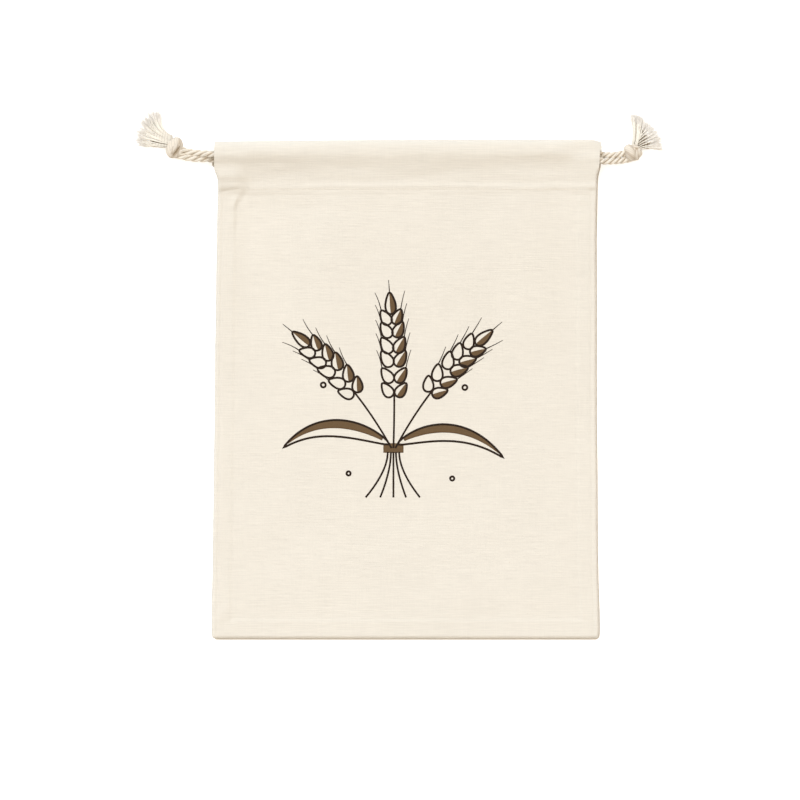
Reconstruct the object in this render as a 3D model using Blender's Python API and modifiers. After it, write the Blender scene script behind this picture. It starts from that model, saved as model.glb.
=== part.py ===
"""Canvas drawstring bread bag, lying flat and empty on its back, mouth towards +Y.

Run with: blender --background --python part.py
Units are metres, +Z is up, and the surface that the bag lies on is z = 0.
"""

import math

import bmesh
import bpy
import numpy as np
from mathutils import Matrix, Vector

MM = 0.001

# Cloth of the two panels
CLOTH = 1.0 * MM
GAP = 0.3 * MM
HALF_HEIGHT = 197.2 * MM
HEM_DEPTH = 38.8 * MM
HEM_TURNING = 4.4 * MM
STITCH_Y = HALF_HEIGHT - HEM_DEPTH
HEM_END_Y = STITCH_Y - HEM_TURNING
HEM_HALF_WIDTH = 139.5 * MM
HEM_ROOM = 1.3 * MM

# Rolled seam at the sides and the bottom
SEAM_ROLL = 3.2 * MM
SEAM_FOOT = CLOTH + GAP + 0.2 * MM
SEAM_TOP_Y = 162 * MM
SEAM_FREE_Y = 176 * MM

# Height of the middle of the front cloth
BODY_EDGE = 4.8 * MM
BODY_CROWN = 1.9 * MM
BODY_RAMP_Y = -40 * MM
HEM_LOW_END, HEM_LOW_MIDDLE = 5.2 * MM, 12.65 * MM
HEM_HIGH_END, HEM_HIGH_MIDDLE = 9.05 * MM, 12.65 * MM
MOUTH_FLAT, MOUTH_END = 45 * MM, 148 * MM

# Twisted drawstrings
CORD = 5.0 * MM
CORD_LAY = 18 * MM
CORD_RIDGE = 0.22 * MM
CORD_POINTS = 9
CORD_CLEAR = CORD / 2 + GAP + CLOTH / 2 + 0.02 * MM
CORD_HIGH_Y, CORD_LOW_Y = 190.8 * MM, 184.1 * MM
CORD_END_HIGH_Y, CORD_END_LOW_Y = 188.0 * MM, 181.0 * MM
CORD_BACK_Z = CLOTH + GAP + CORD / 2
CORD_SHIFT_FROM, CORD_SHIFT_TO = 70 * MM, 134 * MM
BIGHT_X = 142 * MM
BIGHT_REACH = 5.5 * MM

# Outline of the bag: (y, left edge x, right edge x)
EDGES = [
    (-197.2, -151.4, 150.4),
    (-196.2, -152.5, 151.2),
    (-194.0, -153.6, 151.9),
    (-188.5, -154.2, 152.3),
    (-166.3, -154.2, 151.5),
    (-134.6, -153.5, 150.9),
    (-103.0, -152.8, 150.6),
    (-71.3, -152.5, 150.3),
    (-39.6, -151.9, 149.9),
    (55.4, -151.0, 149.9),
    (118.8, -150.2, 149.9),
    (150.5, -149.5, 150.4),
    (164.7, -149.3, 150.7),
    (168.5, -149.7, 151.2),
    (172.5, -151.2, 152.6),
    (176.0, -151.9, 153.8),
    (185.0, -151.9, 154.2),
    (192.0, -151.9, 154.2),
    (195.8, -151.7, 153.6),
    (197.2, -150.9, 152.8),
]

# Cloth of the channel above the hem layer that lies in it: (y, height)
CHANNEL = [
    (120.0, 1.3),
    (156.5, 1.3),
    (158.4, 1.35),
    (160.6, 1.75),
    (163.5, 1.7),
    (168.0, 1.4),
    (172.0, 1.6),
    (176.0, 2.2),
    (179.0, 3.5),
    (181.2, 5.5),
    (183.0, 6.75),
    (187.5, 6.95),
    (191.0, 6.85),
    (193.4, 5.95),
    (195.5, 4.6),
    (196.7, 2.9),
]

# Hem layer of the back panel: (y, height of its middle)
BACK_HEM = [
    (154.0, 1.8),
    (158.4, 1.8),
    (163.0, 2.0),
    (168.0, 2.7),
    (172.0, 3.9),
    (175.0, 5.6),
    (177.5, 7.0),
    (181.0, 7.12),
    (192.5, 7.12),
]

# Rows of the cloth from the bottom seam to the fold at the mouth (y), then down the hem (y, height)
SEAM_STEPS = (0.0, 0.25, 0.9, 1.9, 3.2)
BODY_ROWS = (-185, -168, -148, -126, -104, -82, -60, -38, -16, 6, 28, 50, 70, 88, 104, 118, 130, 140, 148, 153.5)
CHANNEL_ROWS = (157, 158.6, 160.6, 163.5, 167, 171, 174.5, 177, 178.9, 180.6, 182.3, 184.5, 188, 191, 193.2, 195.2)
FRONT_NOSE = ((196.4, 3.9), (196.7, 2.6), (196.1, 1.0), (194.6, 0.2), (192.4, 0.0))
HEM_ROWS = (188, 183, 178, 173, 168, 163, 158.4, 154)
BACK_NOSE = ((193.6, 0.5), (195.4, 1.1), (196.5, 2.4), (196.7, 3.9), (196.1, 5.5), (194.7, 6.7))
EDGE_STEPS = (0.0, 0.25, 0.9, 1.9, 3.2, 7.0)
INNER_COLUMNS = 20

# Folds pressed into the front cloth: (x, y, angle in degrees, half length, half width, height)
FOLDS = [
    (-141.0, 158.5, -14, 10, 3.2, -1.3),
    (-138.0, 165.0, -6, 11, 3.0, 0.9),
    (-132.0, 152.0, 62, 8, 2.6, -0.8),
    (-126.5, 153.5, 62, 8, 2.6, 0.5),
    (-134.5, 133.0, 70, 6, 4.0, -0.5),
    (139.0, 159.5, 12, 12, 3.2, -0.9),
    (134.0, 166.5, 5, 12, 3.2, 0.6),
    (128.0, 150.0, -64, 9, 3.2, -0.5),
    (-95.0, 171.0, 10, 18, 4.0, -0.5),
    (-40.0, 170.0, -6, 24, 4.0, 0.4),
    (28.0, 171.0, 8, 22, 4.0, -0.4),
    (88.0, 170.0, -8, 18, 4.0, 0.4),
]

# Knots: centre, half sizes and angle of the long axis, side of the tassel, and the fan of its strands
KNOTS = {
    "knot_left": {
        "centre": (-183.8, 191.8, 6.7),
        "half": (8.9, 5.8, 6.2),
        "long": 106,
        "turn": 146,
        "fan": (190, 104),
        "reach": (24.5, 26.5, 25.0, 22.0),
        "root": (-189.4, 197.4),
    },
    "knot_right": {
        "centre": (178.5, 188.2, 6.7),
        "half": (7.3, 6.4, 6.1),
        "long": 60,
        "turn": 50,
        "fan": (-6, 102),
        "reach": (16.0, 21.0, 24.0, 26.0),
        "root": (182.8, 193.8),
    },
}
KNOT_CUTS = 7
STRAND_SEGMENTS = 5
STRAND_ROOT, STRAND_TIP = 1.15 * MM, 0.8 * MM
STRAND_LIFT = 0.36 * MM
STRAND_FLOOR = 0.68 * MM

SCENE = bpy.context.scene


def clear_scene():
    for obj in list(bpy.data.objects):
        bpy.data.objects.remove(obj, do_unlink=True)


def new_collection(name, hidden=False):
    collection = bpy.data.collections.new(name)
    collection.hide_render = hidden
    SCENE.collection.children.link(collection)
    return collection


def new_material(name, colour, roughness):
    material = bpy.data.materials.new(name)
    material.use_nodes = True
    shader = material.node_tree.nodes["Principled BSDF"]
    shader.inputs["Base Color"].default_value = (*colour, 1.0)
    shader.inputs["Roughness"].default_value = roughness
    shader.inputs["Metallic"].default_value = 0.0
    return material


def smooth(low, high, value):
    """0 below low, 1 above high, and an even curve between."""
    t = min(max((value - low) / (high - low), 0.0), 1.0)
    return t * t * (3 - 2 * t)


def read(table, column, at):
    """A value from a table in millimetres, straight between its rows."""
    rows = np.array(table, dtype=float) * MM
    return float(np.interp(at, rows[:, 0], rows[:, column]))


def arch(x):
    """1 in the middle of the mouth, 0 at its ends."""
    return 1 - smooth(MOUTH_FLAT, MOUTH_END, abs(x))


def cord_shift(x):
    """How far the cords lie below their middle run near the ends of the channel."""
    return (CORD_HIGH_Y - CORD_END_HIGH_Y) * smooth(CORD_SHIFT_FROM, CORD_SHIFT_TO, abs(x))


def hem_height(x, y):
    """Middle of the front hem layer."""
    lift = arch(x)
    low = HEM_LOW_END + (HEM_LOW_MIDDLE - HEM_LOW_END) * lift
    high = HEM_HIGH_END + (HEM_HIGH_MIDDLE - HEM_HIGH_END) * lift
    return low + (high - low) * smooth(STITCH_Y, 178 * MM, y)


def fold_height(x, y):
    """Folds of the front cloth, added to its smooth form."""
    total = 0.0
    for at_x, at_y, angle, length, width, height in FOLDS:
        turn = math.radians(angle)
        dx, dy = x / MM - at_x, y / MM - at_y
        along = dx * math.cos(turn) + dy * math.sin(turn)
        across = -dx * math.sin(turn) + dy * math.cos(turn)
        total += height * math.exp(-((along / length) ** 2) - (across / width) ** 2)
    return total * MM


def front_height(x, y):
    """Middle of the front cloth away from its seams."""
    if y < HEM_END_Y:
        plateau = BODY_EDGE + BODY_CROWN * (1 - (x / (152 * MM)) ** 2)
        top = hem_height(x, HEM_END_Y) + HEM_ROOM
        base = plateau + (top - plateau) * smooth(BODY_RAMP_Y, HEM_END_Y, y)
        return base + fold_height(x, y) * smooth(HEM_END_Y, HEM_END_Y - 4 * MM, y)
    moved = y + cord_shift(x) * smooth(196 * MM, 188 * MM, y) * smooth(163 * MM, 176 * MM, y)
    rise = read(CHANNEL, 1, moved)
    inside = abs(x) < HEM_HALF_WIDTH + 4 * MM
    crease = fold_height(x, y) * smooth(180 * MM, 174 * MM, y)
    height = hem_height(x, y) + rise + crease
    least = hem_height(x, y) + HEM_ROOM
    return max(height, least) if inside else height


def roll(distance):
    """Quarter round of the turned seam, 0 at its foot and 1 past it."""
    t = min(max(distance / SEAM_ROLL, 0.0), 1.0)
    return math.sqrt(max(1 - (1 - t) ** 2, 0.0))


def across(y, half_width=None, inset=0.0):
    """Places of the columns of cloth across the bag at one height of it."""
    left, right = read(EDGES, 1, y) + inset, read(EDGES, 2, y) - inset
    if half_width:
        left, right = -half_width, half_width
    steps = [step * MM for step in EDGE_STEPS]
    first, last = left + steps[-1], right - steps[-1]
    middle = [first + (last - first) * i / INNER_COLUMNS for i in range(1, INNER_COLUMNS)]
    return [left + s for s in steps] + middle + [right - s for s in reversed(steps)]


def front_row(y, from_bottom):
    """One row of the front cloth, with its seam rolled at both sides and the bottom."""
    free = smooth(SEAM_TOP_Y, SEAM_FREE_Y, y)
    columns = across(y, inset=CLOTH / 2 * (1 - free))
    row = []
    for x in columns:
        side = min(x - columns[0], columns[-1] - x)
        rolled = roll(side) * (1 - free) + free
        full = front_height(x, y)
        row.append((x, y, SEAM_FOOT + (full - SEAM_FOOT) * rolled * roll(from_bottom)))
    return row


def front_rows():
    rows = []
    bottom = -HALF_HEIGHT + CLOTH / 2
    for step in SEAM_STEPS:
        rows.append(front_row(bottom + step * MM, step * MM))
    for y in BODY_ROWS + CHANNEL_ROWS:
        rows.append(front_row(y * MM, 1.0))
    for index, (y, height) in enumerate(FRONT_NOSE):
        narrow = HEM_HALF_WIDTH if index > 2 else None
        rows.append([(x, y * MM, hem_height(x, y * MM) + height * MM) for x in across(y * MM, narrow)])
    for y in HEM_ROWS:
        columns = across(y * MM, HEM_HALF_WIDTH)
        rows.append([(x, y * MM, hem_height(x, y * MM)) for x in columns])
    return rows


def back_rows():
    rows = []
    bottom = -HALF_HEIGHT / MM
    for y in [*[bottom + step for step in SEAM_STEPS], *BODY_ROWS, *CHANNEL_ROWS[:-2:3]]:
        rows.append([(x, y * MM, CLOTH / 2) for x in across(y * MM)])
    for index, (y, height) in enumerate(BACK_NOSE):
        narrow = HEM_HALF_WIDTH if index > 3 else None
        rows.append([(x, y * MM, height * MM) for x in across(y * MM, narrow)])
    for y, height in reversed(BACK_HEM):
        rows.append([(x, y * MM, height * MM) for x in across(y * MM, HEM_HALF_WIDTH)])
    return rows


def add_sheet(name, rows, material, collection):
    """A sheet of cloth: a grid laid along the rows, then given its thickness."""
    tall, wide = len(rows) - 1, len(rows[0]) - 1
    bm = bmesh.new()
    bmesh.ops.create_grid(bm, x_segments=wide, y_segments=tall, size=1.0)
    for vert in bm.verts:
        i = round((vert.co.x + 1) / 2 * wide)
        j = round((vert.co.y + 1) / 2 * tall)
        vert.co = Vector(rows[j][i])
    mesh = bpy.data.meshes.new(name)
    bm.to_mesh(mesh)
    bm.free()
    mesh.materials.append(material)
    obj = bpy.data.objects.new(name, mesh)
    collection.objects.link(obj)
    shell = obj.modifiers.new("cloth thickness", "SOLIDIFY")
    shell.thickness = CLOTH
    shell.offset = 0.0
    shell.use_rim = True
    return obj


def spline(points, spacing):
    """Points along a smooth line through the given ones, spaced by the function of the place."""
    knots = [Vector(p) * MM for p in points]
    knots = [2 * knots[0] - knots[1], *knots, 2 * knots[-1] - knots[-2]]
    fine = []
    for a, b, c, d in zip(knots, knots[1:], knots[2:], knots[3:]):
        for k in range(40):
            t = k / 40
            fine.append(
                0.5
                * (2 * b + (c - a) * t + (2 * a - 5 * b + 4 * c - d) * t**2 + (3 * b - a - 3 * c + d) * t**3)
            )
    fine.append(knots[-2])
    out = [fine[0]]
    run = 0.0
    for before, here in zip(fine, fine[1:]):
        run += (here - before).length
        if run >= spacing(here):
            out.append(here)
            run = 0.0
    if (out[-1] - fine[-1]).length < 0.5 * spacing(fine[-1]):
        out.pop()
    out.append(fine[-1])
    return out


def channel_run(side, high_first, front):
    """Points of one strand inside a channel, from the end at -side to the end at +side."""
    places = (-1.0, -0.94, -0.84, -0.74, -0.65, -0.5, -0.3, -0.1, 0.1, 0.3, 0.5, 0.65, 0.74, 0.84, 0.94, 1.0)
    points = []
    for place in places:
        x = side * place * BIGHT_X
        y = (CORD_HIGH_Y if high_first else CORD_LOW_Y) - cord_shift(x)
        if not high_first:
            y -= (CORD_END_HIGH_Y - CORD_END_LOW_Y - CORD_HIGH_Y + CORD_LOW_Y) * smooth(
                CORD_SHIFT_FROM, CORD_SHIFT_TO, abs(x)
            )
        z = hem_height(x, CORD_HIGH_Y) + CORD_CLEAR if front else CORD_BACK_Z
        points.append((x / MM, y / MM, z / MM))
    return points


def bight(side, front_y, back_y):
    """Half turn of a drawstring at the far end of the channel, between front and back."""
    high = (hem_height(BIGHT_X, CORD_HIGH_Y) + CORD_CLEAR) / MM
    low = CORD_BACK_Z / MM
    points = []
    for angle in range(20, 180, 20):
        turn = math.radians(angle)
        share = (1 - math.cos(turn)) / 2
        x = side * (BIGHT_X + BIGHT_REACH * math.sin(turn)) / MM
        y = (front_y + (back_y - front_y) * share) / MM
        points.append((x, y, high + (low - high) * share))
    return points


def cord_route(side, tails):
    """Whole line of one drawstring, whose two ends leave at -side: front strand first."""
    high_front = side > 0
    front_y = CORD_END_HIGH_Y if high_front else CORD_END_LOW_Y
    back_y = CORD_END_LOW_Y if high_front else CORD_END_HIGH_Y
    out = channel_run(side, high_front, True)
    back = channel_run(side, not high_front, False)[::-1]
    return tails[0] + out + bight(side, front_y, back_y) + back + tails[1]


def cord_section():
    """Closed outline of the cord: three rounded strands laid together."""
    curve = bpy.data.curves.new("cord_section", "CURVE")
    curve.dimensions = "2D"
    line = curve.splines.new("POLY")
    line.points.add(CORD_POINTS - 1)
    line.use_cyclic_u = True
    for i, point in enumerate(line.points):
        turn = 2 * math.pi * i / CORD_POINTS
        radius = CORD / 2 - CORD_RIDGE * (1 - math.cos(3 * turn))
        point.co = (radius * math.cos(turn), -radius * math.sin(turn), 0, 1)
    return curve


def add_cord(name, route, section, material, collection):
    """A drawstring as a bevelled curve, its twist raised where it is out of the channels."""
    shown = 150 * MM

    def spacing(at):
        return 1.5 * MM if abs(at.x) > shown else (3 * MM if abs(at.x) > BIGHT_X - 4 * MM else 10 * MM)

    points = spline(route, spacing)
    curve = bpy.data.curves.new(name, "CURVE")
    curve.dimensions = "3D"
    curve.twist_mode = "MINIMUM"
    curve.bevel_mode = "OBJECT"
    curve.bevel_object = section
    curve.use_fill_caps = True
    line = curve.splines.new("POLY")
    line.points.add(len(points) - 1)
    tilt = 0.0
    for i, (point, at) in enumerate(zip(line.points, points)):
        if i and abs(at.x) > shown:
            tilt -= 2 * math.pi * (at - points[i - 1]).length / CORD_LAY
        point.co = (*at, 1.0)
        point.tilt = tilt
    curve.materials.append(material)
    obj = bpy.data.objects.new(name, curve)
    collection.objects.link(obj)
    return obj


def wraps(direction):
    """Raised turns of the cord around a knot, as a share of its radius."""
    total = 0.0
    for normal, offset, height in (
        ((0.55, 0.80, 0.25), 0.34, 0.17),
        ((0.55, 0.80, 0.25), -0.46, 0.17),
        ((0.75, -0.45, 0.50), 0.05, 0.16),
    ):
        level = direction.dot(Vector(normal).normalized()) - offset
        total += height * (math.exp(-((level / 0.24) ** 2)) - 0.35)
    return total


def strand_tip(spec, column, row, count):
    """Where one strand of a tassel ends, and the direction in which it ends."""
    share = (column + (row % count) / count) / count
    fan_from, fan_to = spec["fan"]
    turn = math.radians(fan_from + (fan_to - fan_from) * share)
    reach = float(np.interp(share, (0, 0.33, 0.7, 1.0), spec["reach"]))
    reach *= 1 - 0.07 * ((3 * column + 5 * row) % 4)
    x, y = spec["root"]
    tip = Vector((x + reach * math.cos(turn), y + reach * math.sin(turn), 0)) * MM
    tip.z = STRAND_FLOOR + STRAND_LIFT * row
    return tip, Vector((math.cos(turn), math.sin(turn), 0))


def add_knot(name, spec, material, collection):
    """A knot with its tassel, whose strands are drawn out of the face of the knot."""
    bm = bmesh.new()
    bmesh.ops.create_cube(bm, size=2.0)
    bmesh.ops.subdivide_edges(bm, edges=bm.edges[:], cuts=KNOT_CUTS, use_grid_fill=True)
    face_grid = {}
    cells = KNOT_CUTS + 1
    for face in bm.faces:
        middle = face.calc_center_median()
        if middle.x > 0.999:
            column = int((middle.y + 1) / 2 * cells)
            row = int((middle.z + 1) / 2 * cells)
            if (column + row) % 2 == 0:
                face_grid[face] = (column, row)
    long = Matrix.Rotation(math.radians(spec["long"]), 4, "Z")
    turn = Matrix.Rotation(math.radians(spec["turn"] - spec["long"]), 4, "Z")
    centre = Vector(spec["centre"]) * MM
    half = Vector(spec["half"])
    for vert in bm.verts:
        direction = turn @ vert.co.normalized()
        radius = 1 + wraps(direction)
        vert.co = centre + long @ Vector(a * b * radius * MM for a, b in zip(direction, half))
    faces = list(face_grid)
    bmesh.ops.inset_individual(bm, faces=faces, thickness=0.12 * MM, depth=0.0)
    for face in faces:
        column, row = face_grid[face]
        order = cells - 1 - column if spec["fan"][0] > spec["fan"][1] else column
        tip, end = strand_tip(spec, order, row, cells)
        root = face.calc_center_median()
        leave = (face.normal * 0.6 + end * 0.4).normalized()
        reach = (tip - root).length
        path = []
        for k in range(1, STRAND_SEGMENTS + 1):
            t = k / STRAND_SEGMENTS
            a, b, c, d = root, root + leave * reach * 0.33, tip - end * reach * 0.3, tip
            path.append((1 - t) ** 3 * a + 3 * (1 - t) ** 2 * t * b + 3 * (1 - t) * t**2 * c + t**3 * d)
        corners = [vert.co - root for vert in face.verts]
        size = sum(corner.length for corner in corners) / len(corners)
        heading = face.normal.copy()
        current = face
        for k, at in enumerate(path):
            before = path[k - 1] if k else root
            ahead = (at - before).normalized() if k < len(path) - 1 else end
            swing = heading.rotation_difference(ahead).to_matrix()
            t = (k + 1) / STRAND_SEGMENTS
            width = (STRAND_ROOT + (STRAND_TIP - STRAND_ROOT) * t) * 0.7
            made = bmesh.ops.extrude_discrete_faces(bm, faces=[current])
            current = made["faces"][0]
            for vert, corner in zip(current.verts, corners):
                vert.co = at + swing @ corner * (width / size)
    mesh = bpy.data.meshes.new(name)
    bm.to_mesh(mesh)
    bm.free()
    mesh.materials.append(material)
    obj = bpy.data.objects.new(name, mesh)
    collection.objects.link(obj)
    return obj


# Free ends of each drawstring, outside the channel: front strand, then back strand
LEFT_TAILS = (
    [(-177.2, 189.4, 7.4), (-170.8, 187.7, 8.5), (-164, 187.0, 10.2), (-157, 187.0, 11.7), (-149.5, 187.6, 12.35)],
    [(-149.5, 181.1, 3.82), (-157, 181.1, 4.0), (-164, 181.4, 4.4), (-170, 181.9, 4.9), (-179.7, 184.0, 5.4)],
)
RIGHT_TAILS = (
    [(172.4, 184.5, 7.4), (167.2, 182.3, 8.5), (162, 181.2, 10.3), (156.5, 180.9, 11.7), (149.5, 181.0, 12.35)],
    [(149.5, 187.7, 3.82), (156.5, 186.9, 4.0), (162, 186.9, 4.4), (167, 187.7, 4.9), (171.3, 188.6, 5.5)],
)

clear_scene()
bag = new_collection("canvas_bread_bag")
helpers = new_collection("cutters", hidden=True)
canvas = new_material("natural canvas", (0.913, 0.839, 0.723), 0.92)
cotton = new_material("cotton cord", (0.90, 0.82, 0.69), 0.88)

add_sheet("front_panel", front_rows(), canvas, bag)
add_sheet("back_panel", back_rows(), canvas, bag)

section_object = bpy.data.objects.new("cord_section", cord_section())
section_object.display_type = "WIRE"
section_object.hide_render = True
helpers.objects.link(section_object)
add_cord("drawstring_left", cord_route(1, LEFT_TAILS), section_object, cotton, bag)
add_cord("drawstring_right", cord_route(-1, RIGHT_TAILS), section_object, cotton, bag)

for knot_name, knot_spec in KNOTS.items():
    add_knot(knot_name, knot_spec, cotton, bag)
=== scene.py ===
"""Dressed look of the canvas drawstring bread bag: cloth, cords, knots, tassels, stitches and print.

The camera is set in metres. The shapes are in millimetres and degrees, and add_mesh turns them into metres.
"""

import math

import bpy
import numpy as np
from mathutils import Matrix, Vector


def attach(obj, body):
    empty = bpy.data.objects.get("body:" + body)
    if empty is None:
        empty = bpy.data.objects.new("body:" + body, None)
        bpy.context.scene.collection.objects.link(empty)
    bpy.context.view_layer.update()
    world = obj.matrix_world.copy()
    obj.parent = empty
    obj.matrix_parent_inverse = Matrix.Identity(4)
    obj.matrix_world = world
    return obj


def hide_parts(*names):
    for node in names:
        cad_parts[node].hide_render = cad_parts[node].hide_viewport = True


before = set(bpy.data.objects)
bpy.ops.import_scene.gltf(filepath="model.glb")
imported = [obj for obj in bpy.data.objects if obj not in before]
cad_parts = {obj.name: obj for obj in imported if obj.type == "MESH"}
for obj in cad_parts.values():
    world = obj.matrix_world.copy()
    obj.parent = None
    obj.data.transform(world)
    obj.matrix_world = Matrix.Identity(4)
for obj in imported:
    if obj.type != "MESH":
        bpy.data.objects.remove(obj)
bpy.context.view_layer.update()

MM = 0.001
SCENE = bpy.context.scene

# Camera: straight down from far above, over the middle of the photograph
PHOTO_WIDTH = 0.6336
LENS, SENSOR = 120.0, 36.0
LOOK_AT = (-0.0053, -0.0079, 0.005)
NEAR_CLIP, FAR_CLIP = 0.1, 60.0

camera_data = bpy.data.cameras.new("camera")
camera_data.lens = LENS
camera_data.sensor_width = SENSOR
camera_data.clip_start, camera_data.clip_end = NEAR_CLIP, FAR_CLIP
camera = bpy.data.objects.new("camera", camera_data)
camera.location = (LOOK_AT[0], LOOK_AT[1], LOOK_AT[2] + PHOTO_WIDTH * LENS / SENSOR)
SCENE.collection.objects.link(camera)
SCENE.camera = camera

# Sizes shared with the part's solids
CLOTH = 1.0
HALF_HEIGHT = 197.2
STITCH_Y = 158.4
HEM_END_Y = 154.0
HEM_HALF = 139.5
HEM_ROOM = 1.2
SEAM_FOOT = 1.5

# Front hem layer: height at the mouth's ends, by the stitches and above, and in the mouth's middle
HEM_LOW_END, HEM_HIGH_END, HEM_MIDDLE = 5.2, 7.9, 12.65

# Front cloth of the body: height at its sides, more in its middle, and half that crown's width
BODY_EDGE, BODY_CROWN, CROWN_HALF = 4.8, 1.9, 152.0

# Stretches over which the cloth changes: (from, to), in x
MOUTH_ARCH = (45.0, 148.0)
CORD_SINK = (112.0, 147.0)
SLACK_ENDS = (100.0, 120.0)

# and in y
BODY_CLIMB = (-40.0, HEM_END_Y)
STEP_CLIMB = (141.0, 157.0)
HEM_CLIMB = (STITCH_Y, 178.0)
FOLDS_END = (174.0, 180.0)
WAVES_START, WAVES_END = (160.0, 168.0), (184.0, 190.0)
BODY_WAVES_END = (150.0, 158.0)
LEAN_CLIMB = (166.0, 186.0)
DROOP_CLIMB = (186.0, 196.0)
LIFT_CLIMB = (184.0, 193.0)
SIDE_SEAM_END = (162.0, 176.0)
OPEN_END = (172.0, 176.0)
ALLOWANCE_END = (150.0, 166.0)
BACK_INSET_END = (166.0, 178.0)

# Towards its left end the channel sits lower: by how much, from which x, over what length, at most
LEAN, LEAN_FROM_X, LEAN_SPAN, LEAN_MOST = 1.25, 137.0, 261.0, 1.1

# Folded top edge: its lift, and its droop at the two upper corners as (drop, from x, to x)
MOUTH_LIFT = 0.7
DROOP_RIGHT, DROOP_LEFT = (1.7, 145.5, 154.5), (0.5, 147.5, 152.5)

# The body lies this much under the channel by the stitches, and (more, side, from x, to x)
STEP = 0.35
STEP_CHANGES = ((0.7, -1, 55.0, 85.0), (-0.5, -1, 128.0, 142.0), (-0.3, 1, 60.0, 90.0))

# Slack cloth between the climb and the stitches: height, length of its waves, place and half width
SLACK, SLACK_WAVE, SLACK_Y, SLACK_HALF = 0.25, 15.6, 175.0, 5.0

# The stitches draw the cloth down and pucker it: depths, half widths, and the puckers' pitch
STITCH_DIP, DIP_HALF = 0.17, 1.2
PUCKER, PUCKER_HALF, PUCKER_PITCH, PUCKER_DRIFT, DRIFT_WAVE = 0.06, 4.5, 5.3, 1.4, 17
BACK_DIP, BACK_DIP_HALF = 0.12, 0.9

# Outline of the bag: rows of (y, left edge, right edge)
EDGES = np.array([
    (-198.2, -151.8, 149.9), (-197.4, -152.9, 151.6), (-196, -154.1, 152.9), (-193, -154.6, 153.3),
    (-188.5, -154.7, 153.3), (-178, -154.7, 153.2), (-166.3, -154.5, 152.9), (-150.5, -154.1, 152.3),
    (-118.8, -153.6, 151.8), (-71.3, -153, 151.6), (-23.8, -152.3, 151.1), (23.8, -152, 151),
    (71.3, -151.3, 151), (118.8, -150.6, 150.9), (150.5, -149.8, 151.5), (166.3, -149.5, 151.8),
    (170.4, -150.3, 152.2), (174.6, -151.5, 153.4), (176.5, -152.3, 154), (178.6, -153.7, 154.2),
    (180.6, -155.5, 154.3), (182, -155.7, 154.35), (184.2, -152.9, 154.4), (186, -151.9, 154.5),
    (192, -151.9, 154.6), (195.8, -151.9, 154), (197.2, -151.3, 153.6),
])
# Round of the fold at the mouth: rows of (y, share of the height left between the crest and the fold)
FOLD_TOP = 5.2
FOLD_ROUND = ((190.8, 0.95), (192.5, 0.8), (193.7, 0.6), (194.9, 0.27), (195.6, 0.0))


def over_fold(rows):
    """A channel profile: its own rows up to the crest over the cords, then the fold's round."""
    crest = rows[-1][1]
    return np.array([*rows, *((y, FOLD_TOP + (crest - FOLD_TOP) * share) for y, share in FOLD_ROUND)])


# Height of the front cloth over its hem: rows of (y, height) over the stitches, the hollow and the climb
CHANNEL = over_fold([
    (154, 1.2), (157.5, 1.7), (160.5, 2.15), (163.5, 1.9), (168.5, 2.55), (173, 3.5), (178, 4.9),
    (183, 6.6), (186, 7.4), (189.2, 7.6),
])
CHANNEL_NEAR_LEFT = over_fold([
    (154, 1.3), (160.5, 2.65), (164, 2.65), (168.5, 3), (173, 3.5), (176.5, 4.3), (180, 5.6),
    (184.5, 7.85), (187, 8.8), (189.2, 9.05),
])
CHANNEL_LEFT = over_fold([
    (154, 2.7), (155.6, 3.1), (158.8, 4.75), (161, 5.55), (164, 5.85), (168.2, 6.5), (172, 5.85),
    (175.6, 5.35), (179.5, 6), (183, 7.6), (186.8, 8.8), (189.2, 8.55),
])
CHANNEL_NEAR_RIGHT = over_fold([
    (154, 4.65), (155.8, 4.75), (159.4, 5.35), (163.2, 4.65), (168.5, 4.35), (174, 4), (178, 4.75),
    (182, 6.2), (186, 7.75), (189.2, 7.95),
])
CHANNEL_RIGHT = over_fold([
    (154, 5.2), (158, 6.1), (160.6, 6.45), (164.5, 5.9), (169, 5.6), (174, 5.35), (178, 5.65),
    (182.8, 6.35), (186, 6.15), (189.2, 5.7),
])
# Where each profile takes over from the one towards the middle: (profile, side, from x, to x)
CHANNEL_BLENDS = (
    (CHANNEL_NEAR_RIGHT, 1, 52, 108), (CHANNEL_RIGHT, 1, 120, 139),
    (CHANNEL_NEAR_LEFT, -1, 66, 96), (CHANNEL_LEFT, -1, 122, 138),
)
# Hem layer of the back cloth: rows of (y, height of its middle)
BACK_HEM = np.array([
    (154, 1.8), (158.4, 1.8), (163, 2), (168, 2.7), (172, 3.9), (175, 5.4), (177.5, 6.5),
    (181, 6.7), (192.5, 6.7),
])
# Folds pressed into the front cloth: rows of (x, y, angle, half length, half width, height)
FOLDS = np.array([
    (-141, 157.8, 9, 9, 1.2, -0.6), (-135.3, 149.5, 60, 9, 2.3, 0.8), (-130.6, 151, 60, 9, 2.2, -0.7),
    (-139, 133, 80, 7, 2.4, 0.5), (-134, 132, 80, 7, 2.4, -0.45), (147, 157.2, 0, 4, 1.6, -0.5),
    (146.5, 161, 0, 5, 2.2, 0.35), (117, 157.8, 3, 9, 1.6, -0.3), (117, 161.8, 3, 10, 2.2, 0.3),
    (140.5, 146, -50, 5, 2.4, -0.4), (136.5, 149.5, -50, 5, 2.4, 0.35), (-95, 171, 10, 18, 4, -0.35),
    (-40, 170, -6, 24, 4, 0.3), (28, 171, 8, 22, 4, -0.3), (88, 170, -8, 18, 4, 0.3),
    (-60, 158.6, 2, 14, 1.6, -0.2), (30, 158.8, -1, 18, 1.6, -0.2), (-2, 163, 2, 22, 2.4, 0.2),
    (-146, -176, 55, 8, 2.6, 0.4), (-139, -182, 35, 9, 2.6, -0.35),
    (143, -183, -30, 7, 2.6, -0.25), (-118, 166, 75, 6, 2, -0.25), (104, 151, 65, 7, 2.2, 0.2),
])


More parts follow.
